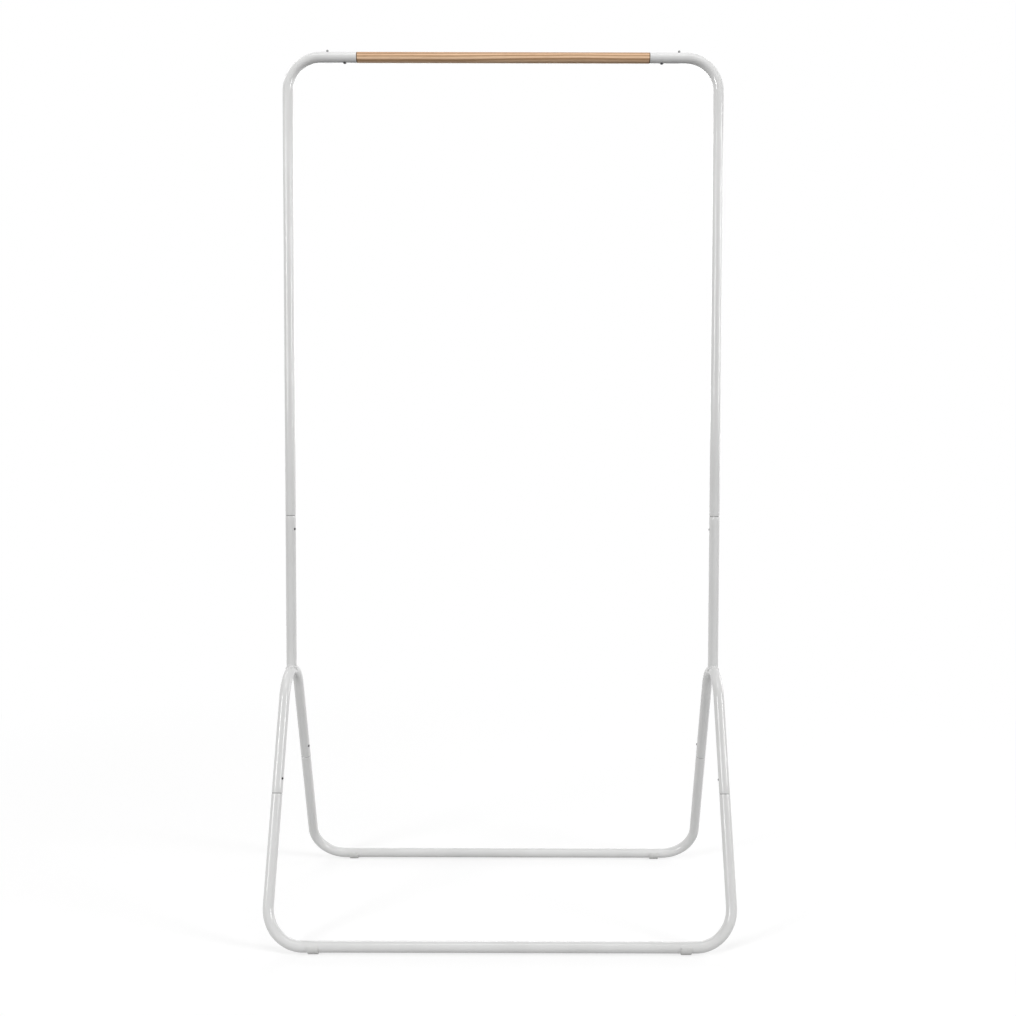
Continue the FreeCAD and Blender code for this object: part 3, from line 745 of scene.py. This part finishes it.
def weldBead(middle, side):
    # a round cord along the cope, with overlapping scales: point(a, b) = line(a) + r (cos b away +
    # sin b third), where r climbs and drops on every scale
    k = beadSet
    a = np.arange(k["around"]) / k["around"] * turn
    b = np.arange(k["section"]) / k["section"] * turn
    x, y = tubeRadius * np.cos(a), tubeRadius * np.sin(a)
    line = np.column_stack([x, y, copeHeight(x, y, 0)]) + middle
    outPost = np.column_stack([np.cos(a), np.sin(a), 0 * a])
    spoke = unitRows(np.column_stack([0 * a, y, line[:, 2] - crownCentre]))
    ridge = spoke * tubeSet["hairpinBend"] + middle + [0, 0, crownCentre]
    away = unitRows(outPost + unitRows(line - ridge))
    ahead = unitRows(np.roll(line, -1, 0) - np.roll(line, 1, 0))
    away = unitRows(away - ahead * np.sum(away * ahead, axis=1)[:, None])
    third = np.cross(ahead, away)
    slow, fast = k["waves"]
    wander = (0.5 * np.sin(slow * a + side) + 0.5 * np.sin(fast * a + k["secondStart"]))[:, None]
    phase = a[:, None] * k["scales"] / turn + k["scaleTilt"] * np.cos(b) + k["scaleDrift"] * wander
    scale = np.sin(math.pi * (phase % 1.0) ** k["early"])
    swell = k["radius"] * (k["low"] + k["rise"] * scale + k["uneven"] * wander)
    ring = np.cos(b)[None, :, None] * away[:, None] + np.sin(b)[None, :, None] * third[:, None]
    points = (line + away * k["out"])[:, None] + swell[..., None] * ring
    return points, gridQuads(k["around"], k["section"], closedRows=True)


for sideName, side in sides.items():
    middle = np.array([side * halfSpan, 0, 0])
    axis = BentAxis([middle + [0, 0, crownHeight], middle + [0, 0, postSeam]], plane=[0, 1, 0])

    def cope(points):
        # the lowest stretch is squeezed upwards until its foot lies on the crown
        x, y, z = (points - middle).T
        share = np.clip((z - crownHeight) / copeSet["run"], 0, 1)
        lifted = z + (1 - share) * (copeHeight(x, y, copeSet["gap"]) - crownHeight)
        return np.column_stack([points[:, 0], points[:, 1], lifted])

    holes = [(axis.length - tubeSet["buttonDown"], buttonWay(side), buttonHole)]
    tubePiece(f"lower_post_{sideName}", f"lower_post_tube_{sideName}", axis, openEnd, openEnd,
              holes, cope)
    standFor(f"apex_weld_{sideName}", "white_steel", f"apex_bead_{sideName}",
             *weldBead(middle, side), crisp=beadSet["crisp"])
print("lower posts and weld beads")

# upper frames: spigot, upright, top bend and the stub that holds the rail
upperSet = {"stub": 66.5 * mm, "screwIn": 44.25 * mm, "stopIn": 12 * mm,
            "screwHole": 1.85 * mm, "stopHole": 1.7 * mm}
stubEnd = halfSpan - tubeSet["topBend"] - upperSet["stub"]      # also the rail's shoulder
screwPlace = halfSpan - tubeSet["topBend"] - upperSet["screwIn"]
stopPlace = halfSpan - tubeSet["topBend"] - upperSet["stopIn"]
for sideName, side in sides.items():
    corners = [[side * halfSpan, 0, postSeam - tubeSet["spigotLength"]],
               [side * halfSpan, 0, railHeight], [side * stubEnd, 0, railHeight]]
    axis = BentAxis(corners, tubeSet["topBend"])
    holes = [(buttonUp, buttonWay(side), buttonHole),
             (axis.length - (screwPlace - stubEnd), down, upperSet["screwHole"]),
             (axis.length - (stopPlace - stubEnd), up, upperSet["stopHole"])]
    tubePiece(f"upper_frame_{sideName}", f"upper_crook_{sideName}", axis, spigotEnd, openEnd, holes)
print("upper frames")

# hanging rail: a turned dowel with a tenon at each end
railSet = {"chamfer": 0.8 * mm, "tenonRadius": 8.35 * mm, "jointShade": 0.5 * mm, "round": 0.2 * mm,
           "tenonFoot": 0.15 * mm, "columns": 96}
railRadius = (railHigh[2] - railLow[2]) / 2
tenonEnd, tenon = railHigh[0], railSet["tenonRadius"]
chamfer, jointShade, ease = railSet["chamfer"], railSet["jointShade"], railSet["round"]
dowelEnd = stubEnd - chamfer
half = np.array([(tenonEnd, 0), (tenonEnd, tenon - chamfer), (tenonEnd - chamfer, tenon),
                 (stubEnd, tenon), (stubEnd, railRadius - chamfer), (dowelEnd, railRadius),
                 (dowelEnd - jointShade, railRadius), (dowelEnd - 3 * jointShade, railRadius)])
rounds = [ease, ease, 0, railSet["tenonFoot"], ease, 0, 0]
outline = roundCorners(np.vstack([half * [-1, 1], half[::-1]]), rounds + rounds[::-1])
points, quads = turnProfile(outline, [0, 0, railHeight], [1, 0, 0], railSet["columns"])
# dark on the chamfer and tenon, fading over a band just inside the chamfer: end grain, and painted
# shade where the dowel meets the tube
depth = dowelEnd - abs(outline[:, 0])                          # in from the chamfer
cut = np.repeat(np.clip(1 - depth / (2 * jointShade), 0, 1), railSet["columns"])
standFor("hanging_rail", "rail_wood", "rail_dowel", points, quads, marks={"cut": cut})
print("hanging rail")

# hanger stops and rail screws
stopSet = {
    "neck": 1.6 * mm,
    "head": 2.3 * mm,
    "headHeight": 3.6 * mm,
    "flare": 3.2 * mm,          # the riveted end inside the stub
    "flareThick": 1.2 * mm,
    "rounds": [0.3 * mm, 0.3 * mm, 0.2 * mm, 0.1 * mm, 0.6 * mm, 1.9 * mm],    # from the foot up
    "steps": 9,
    "columns": 48,
}


def hangerStud(node, side):
    # a riveted stud turned about its upright axis
    k = stopSet
    low, high = boxOf(node)
    foot, top = low[2] - railHeight, high[2] - railHeight
    rivet, headFoot = foot + k["flareThick"], top - k["headHeight"]
    corners = [(foot, 0), (foot, k["flare"]), (rivet, k["flare"]), (rivet, k["neck"]),
               (headFoot, k["neck"]), (headFoot, k["head"]), (top, k["head"]), (top, 0)]
    outline = roundCorners(corners, k["rounds"], steps=k["steps"])
    return turnProfile(outline, [side * stopPlace, 0, railHeight], up, k["columns"])


screwSet = {
    "head": 3.0 * mm,
    "shank": 1.75 * mm,
    "point": 3 * mm,
    "seat": 0.1 * mm,           # tube's face to the head
    "flat": 0.55,               # of the head's radius, level part of the crown
    "drop": 1.1 * mm,           # crown to the head's rim
    "rounds": [2.4 * mm, 0.5 * mm, 0.2 * mm, 0.1 * mm, 0.3 * mm],              # from the crown up
    "steps": 7,
    "recess": 1.7 * mm,
    "slot": 0.4 * mm,
    "slope": 0.22 * mm,
    "depth": 0.9 * mm,
    "depthFade": 2.6 * mm,      # the cross gets shallower towards its tips
    "depthFull": 1.25,
    "headOnly": 1.2 * mm,       # nothing nearer to the tube is sunk
    "crownRings": 40,
    "columns": 120,
}


def railScrew(node, side):
    # a pan head below the stub and a pointed shank, turned; then the crown sinks wherever (x, y)
    # lies in one of two crossed slots, less so away from the middle
    k = screwSet
    low, high = boxOf(node)
    crown, point = railHeight - low[2], high[2] - railHeight    # below and above the rail's axis
    seat = tubeRadius + k["seat"]
    corners = [(crown, 0), (crown, k["head"] * k["flat"]), (crown - k["drop"], k["head"]),
               (seat, k["head"]), (seat, k["shank"]), (k["point"] - point, k["shank"]), (-point, 0)]
    outline = roundCorners(corners, k["rounds"], steps=k["steps"])
    fine = np.linspace(0, outline[1, 1], k["crownRings"])[1:-1]
    fine = np.column_stack([np.full(len(fine), crown), fine])
    outline = np.vstack([outline[:1], fine, outline[1:]])
    points, quads = turnProfile(outline, [side * screwPlace, 0, railHeight], down, k["columns"])
    flatX, flatY = abs(points[..., 0] - side * screwPlace), abs(points[..., 1])
    across = np.minimum(np.maximum(flatX - k["recess"], flatY - k["slot"]),
                        np.maximum(flatX - k["slot"], flatY - k["recess"]))
    fade = np.clip(k["depthFull"] - np.hypot(flatX, flatY) / k["depthFade"], 0, 1)
    sink = np.clip(-across / k["slope"], 0, 1) * k["depth"] * fade
    inHead = points[..., 2] < railHeight - tubeRadius - k["headOnly"]
    points[..., 2] += np.where(inHead, sink, 0)
    return points, quads


for sideName, side in sides.items():
    stop, screw = f"hanger_stop_{sideName}", f"rail_screw_{sideName}"
    standFor(stop, "stop_steel", f"hanger_stud_{sideName}", *hangerStud(stop, side))
    standFor(screw, "screw_steel", f"rail_screw_pan_{sideName}", *railScrew(screw, side))
print("hanger stops and rail screws")

# feet: clips under the floor bars
footSet = {
    "wall": 1.8 * mm,
    "gap": 0.1 * mm,
    "width": 18 * mm,
    "base": 3.5 * mm,           # half of the flat pad, across the bar
    "padEase": 0.12 * mm,       # softens the pad's corner
    "grip": 4 * mm,             # how far the lips reach past the bar's middle
    "edge": 0.6 * mm,
    "edgeShare": 0.3,           # of the thickness
    "edgeSteps": 6,
    "along": 120,
    "peg": 2.2 * mm,
    "pegReach": 3 * mm,
    "pegFoot": 1.0 * mm,
    "pegRounds": [0.2 * mm, 0.6 * mm],
    "pegColumns": 32,
}


def footClip(middle):
    # a rounded strip carried round the bar: polar radius runs from the bar's face to the clip's
    # back, which under the bar swells to a flat pad; at its lips the strip closes in a half circle
    k = footSet
    inner, outer = tubeRadius + k["gap"], tubeRadius + k["wall"]
    lipAngle = math.pi / 2 + math.asin(k["grip"] / inner)                # from straight down
    phi = np.sin(np.linspace(-math.pi / 2, math.pi / 2, k["along"])) * lipAngle    # close at lips
    cosPhi, sinPhi = np.cos(phi), np.sin(phi)
    lipClose = k["wall"] / 2 / outer                                     # angle of the half circle
    fade = np.clip((lipAngle - abs(phi)) / lipClose, 0, 1)
    fat = np.sqrt(1 - (1 - fade) ** 2)
    fat[[0, -1]] = 0
    least = 1e-3                                                         # no division by zero
    ground = barHeight / np.maximum(cosPhi, least)
    pad = np.minimum(ground, k["base"] / np.maximum(abs(sinPhi), least))
    pad = np.where(cosPhi > 0, pad, 0)
    back = 0.5 * (pad + outer) + np.sqrt(0.25 * (pad - outer) ** 2 + k["padEase"] ** 2)
    back = np.minimum(back, ground)
    back = np.where(cosPhi > 0, np.maximum(back, outer), outer)
    core = (inner + outer) / 2
    low = core + (inner - core) * fat
    high = core + (back - core) * fat
    # the strip's section in (share of thickness, place along the bar): a rectangle, edges eased
    wide, edge, part = k["width"] / 2, k["edge"], k["edgeShare"]
    arc = np.linspace(0, math.pi / 2, k["edgeSteps"])
    fall, climb = np.cos(arc), np.sin(arc)
    share = np.concatenate([1 - part + part * fall, part - part * fall[::-1]])
    along = np.concatenate([wide - edge + edge * climb, wide - edge + edge * climb[::-1]])
    share = np.concatenate([share, share[::-1]])
    along = np.concatenate([along, -along[::-1]])
    radius = low[:, None] + (high - low)[:, None] * share
    squeeze = 1 - (1 - fat)[:, None] * edge / wide
    points = np.stack([middle[0] + along * squeeze + 0 * radius,
                       middle[1] + radius * sinPhi[:, None],
                       middle[2] - radius * cosPhi[:, None]], axis=-1)
    return points.reshape(-1, 3), gridQuads(len(phi), len(share))


def footPeg(middle):
    k = footSet
    foot, tip = tubeRadius + k["pegFoot"], tubeRadius - k["pegReach"]
    outline = roundCorners([(foot, 0), (foot, k["peg"]), (tip, k["peg"]), (tip, 0)], k["pegRounds"])
    points, quads = turnProfile(outline, middle, down, k["pegColumns"])
    return points.reshape(-1, 3), quads


for sideName, side in sides.items():
    for endName, end in ends.items():
        middle = [side * footPlace, end * halfDepth, barHeight]
        clip, clipQuads = footClip(middle)
        peg, pegQuads = footPeg(middle)
        standFor(f"foot_{endName}_{sideName}", "foot_plastic", f"foot_clip_{endName}_{sideName}",
                 np.vstack([clip, peg]), np.vstack([clipQuads, pegQuads + len(clip)]))
print("feet")

# snap buttons: each rides on its own body, and its folded spring strip stays on the stand
buttonSet = {
    "radius": 2 * mm,
    "collar": 3 * mm,
    "collarThick": 1 * mm,
    "collarClear": 0.3 * mm,    # collar's edge to the bore
    "rise": 1.4 * mm,
    "domeDrop": 0.25 * mm,
    "domeFlat": 0.3,            # of the radius
    "rounds": [0.2 * mm, 0.2 * mm, 0.1 * mm, 1 * mm, 0.5 * mm],    # from the collar's back out
    "steps": 8,
    "columns": 48,
}
springSet = {
    "width": 6 * mm,
    "thick": 0.6 * mm,
    "length": 18 * mm,
    "tail": 5 * mm,
    "gap": 0.1 * mm,
    "travel": 3 * mm,
    "rounds": [1.2 * mm, 2.5 * mm],    # fold, knee
    "steps": 9,
    "edge": 0.12 * mm,
}
collarSeat = math.sqrt(spigotBore ** 2 - buttonSet["collar"] ** 2) - buttonSet["collarClear"]
collarBack = collarSeat - buttonSet["collarThick"]
springFront = collarBack - springSet["gap"]             # tube's axis to the button's back
springBack = math.sqrt(spigotBore ** 2 - springSet["width"] ** 2 / 4) - springSet["gap"]
springOpen = springFront + springBack                   # from the far wall to the button


def snapButton(place, way):
    # collar, shank and dome turned about the button's way
    k = buttonSet
    top = tubeRadius + k["rise"]
    corners = [(collarBack, 0), (collarBack, k["collar"]), (collarSeat, k["collar"]),
               (collarSeat, k["radius"]), (top - k["domeDrop"], k["radius"]),
               (top, k["radius"] * k["domeFlat"]), (top, 0)]
    outline = roundCorners(corners, k["rounds"], steps=k["steps"])
    return turnProfile(outline, place, way, k["columns"])


def foldedStrip(place, way, tipWay):
    # a flat strip carried along a folded line: along the far wall, round the fold, and out to the
    # button's collar. point(s, c) = line(s) + section(c), the section a rectangle with eased edges;
    # both ends close to a point
    k = springSet
    half, edge, wide, collar = k["thick"] / 2, k["edge"], k["width"] / 2, buttonSet["collar"]
    slope = (k["length"] - collar) / springOpen
    skew = math.hypot(1, slope)
    wall, front = half - springBack, springFront - half
    corners = [(wall, k["tail"]), (wall, half * (slope + skew) - k["length"]),
               (front, half * (skew - slope) - collar), (front, k["tail"])]
    line = roundCorners(corners, k["rounds"], steps=k["steps"])
    ahead = unitRows(np.gradient(line, axis=0))
    normal = np.column_stack([-ahead[:, 1], ahead[:, 0]])
    thin, narrow = half - edge, wide - edge
    through = np.array([half, half, thin, -thin, -half, -half, -thin, thin])
    across = np.array([-narrow, narrow, wide, wide, narrow, -narrow, -wide, -wide])
    closing = np.concatenate([[0], np.ones(len(line)), [0]])[:, None]
    line, normal = (np.vstack([part[:1], part, part[-1:]]) for part in (line, normal))
    flat = line[:, None] + normal[:, None] * (closing * through)[..., None]
    points = (np.asarray(place) + flat[..., :1] * way + flat[..., 1:] * tipWay
              + (closing * across)[..., None] * np.cross(way, tipWay))
    return points, gridQuads(len(line), len(through))


for sideName, side in sides.items():
    postPlace = [side * halfSpan, 0, postSeam - tubeSet["buttonDown"]]
    places = {"post": (postPlace, buttonWay(side), np.array(down))}
    for endName, end in ends.items():
        upLeg = np.array([0, -end * math.sin(lean), math.cos(lean)])
        legPlace = legPoint(side, end, legSeam + tubeSet["buttonDown"])
        places[endName] = (legPlace, buttonWay(side, end), upLeg)
    for spot, (place, way, tipWay) in places.items():
        name = f"button_{spot}_{sideName}"
        standFor(name, "button_steel", f"snap_{name}", *snapButton(place, way), body=name)
        piece = standFor(f"spring_{spot}_{sideName}", "spring_steel",
                         f"spring_strip_{spot}_{sideName}", *foldedStrip(place, way, tipWay))
        farWall = np.asarray(place) - way * springBack
        1 - springSet["travel"] / springOpen
        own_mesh(piece)
print("snap buttons and their springs")

# stage: a pale floor that fades into a white world
stageSet = {
    "floor": 0.45,
    "rough": 0.9,
    "specular": 0.1,
    "lift": 0.64,           # the floor's own light, for the camera alone
    "fadeFrom": 0.7,
    "fadeTo": 2.2,
    "firstRing": 0.2,
    "rings": 30,
    "edge": 7.0,
    "columns": 96,
    "ambient": 0.22,
}


def paleFloor():
    k = stageSet
    pale = newFinish("paleFloor")
    x, y, z = pale.split(pale.place())
    fade = pale.ramp((x * x + y * y) ** 0.5, k["fadeFrom"], k["fadeTo"])
    seen = pale.seen()
    matt = pale.shade(Base_Color=grey(k["floor"]), Roughness=k["rough"],
                      Specular_IOR_Level=k["specular"])
    near = pale.add("ShaderNodeAddShader", {}, {0: matt, 1: pale.glow(seen * k["lift"])})
    return pale.close(pale.add("ShaderNodeMixShader", {}, {0: fade, 1: near, 2: pale.glow(seen)}))


def whiteWorld():
    # white where it is seen, and the ambient light for the rest
    sky = Nodes(bpy.data.worlds.new("studioWorld"))
    strength = sky.add("ShaderNodeMapRange", {}, {"Value": sky.seen(),
                                                  "To Min": stageSet["ambient"]})
    back = sky.add("ShaderNodeBackground", {}, {"Color": grey(1.0), "Strength": strength})
    return sky.close(back, "ShaderNodeOutputWorld")


angle = np.arange(stageSet["columns"]) / stageSet["columns"] * turn
rings = np.linspace(stageSet["firstRing"], stageSet["fadeTo"], stageSet["rings"])
reach = np.concatenate([[0], rings, [stageSet["edge"]]])[:, None]
points = np.stack([reach * np.cos(angle), reach * np.sin(angle), 0 * reach + 0 * angle], axis=-1)
floor = putPiece("studio_floor", points, gridQuads(len(reach), len(angle)), paleFloor())
bpy.context.scene.world = whiteWorld()

# softboxes: place, aim, width and height in metres, watts = radiance * pi * width * height
lampSet = {
    "leftBox": ((-3.7, -3.35, 2.1), (0, 0, 0.9), 1.2, 1.9, 110),
    "rightBox": ((4.55, -2.1, 2.1), (0, 0, 0.9), 1.3, 1.9, 112),
    "topBox": ((0, -0.5, 3.2), (0, 0, 0), 1.2, 1.2, 5),
    "railBox": ((0, -1.1, 2.75), (0, 0, 1.6), 1.6, 0.5, 8),
    "highBox": ((-2.0, 1.0, 3.2), (0, 0, 0.9), 1.4, 1.2, 10),
    "rimBox": ((4.4, 2.3, 1.8), (0, 0, 0.9), 2.5, 2.2, 46),
    "backBox": ((0, 4.6, 2.0), (0, 0, 0.9), 2.6, 2.0, 50),
}
for name, (place, aim, width, height, watts) in lampSet.items():
    lamp = bpy.data.lights.new(name, "AREA")
    lamp.shape = "RECTANGLE"
    lamp.size = width
    lamp.size_y = height
    lamp.energy = watts
    box = bpy.data.objects.new(name, lamp)
    bpy.context.scene.collection.objects.link(box)
    box.location = place
    box.rotation_euler = (Vector(aim) - Vector(place)).to_track_quat("-Z", "Y").to_euler()
    box.visible_camera = False

# camera at the photo's angle
cameraSet = {
    "place": (35.2 * mm, -1891.8 * mm, 828.7 * mm),
    "down": 2.259,          # degrees
    "roll": 0.13,           # degrees
    "focal": 1002.0,        # pixels
    "middle": 521.2,        # pixel column that looks straight ahead
    "frame": 1016,
    "sensor": 36,
}
lens = bpy.data.cameras.new("photoCamera")
lens.sensor_width = cameraSet["sensor"]
lens.lens = cameraSet["focal"] / cameraSet["frame"] * lens.sensor_width
lens.shift_x = -(cameraSet["middle"] - cameraSet["frame"] / 2) / cameraSet["frame"]
camera = bpy.data.objects.new("photoCamera", lens)
bpy.context.scene.collection.objects.link(camera)
camera.matrix_world = (Matrix.Translation(cameraSet["place"])
                       @ Matrix.Rotation(math.radians(90 - cameraSet["down"]), 4, "X")
                       @ Matrix.Rotation(math.radians(cameraSet["roll"]), 4, "Z"))
bpy.context.scene.camera = camera
bpy.context.scene.view_settings.view_transform = "Standard"
print("stage, lamps and camera")
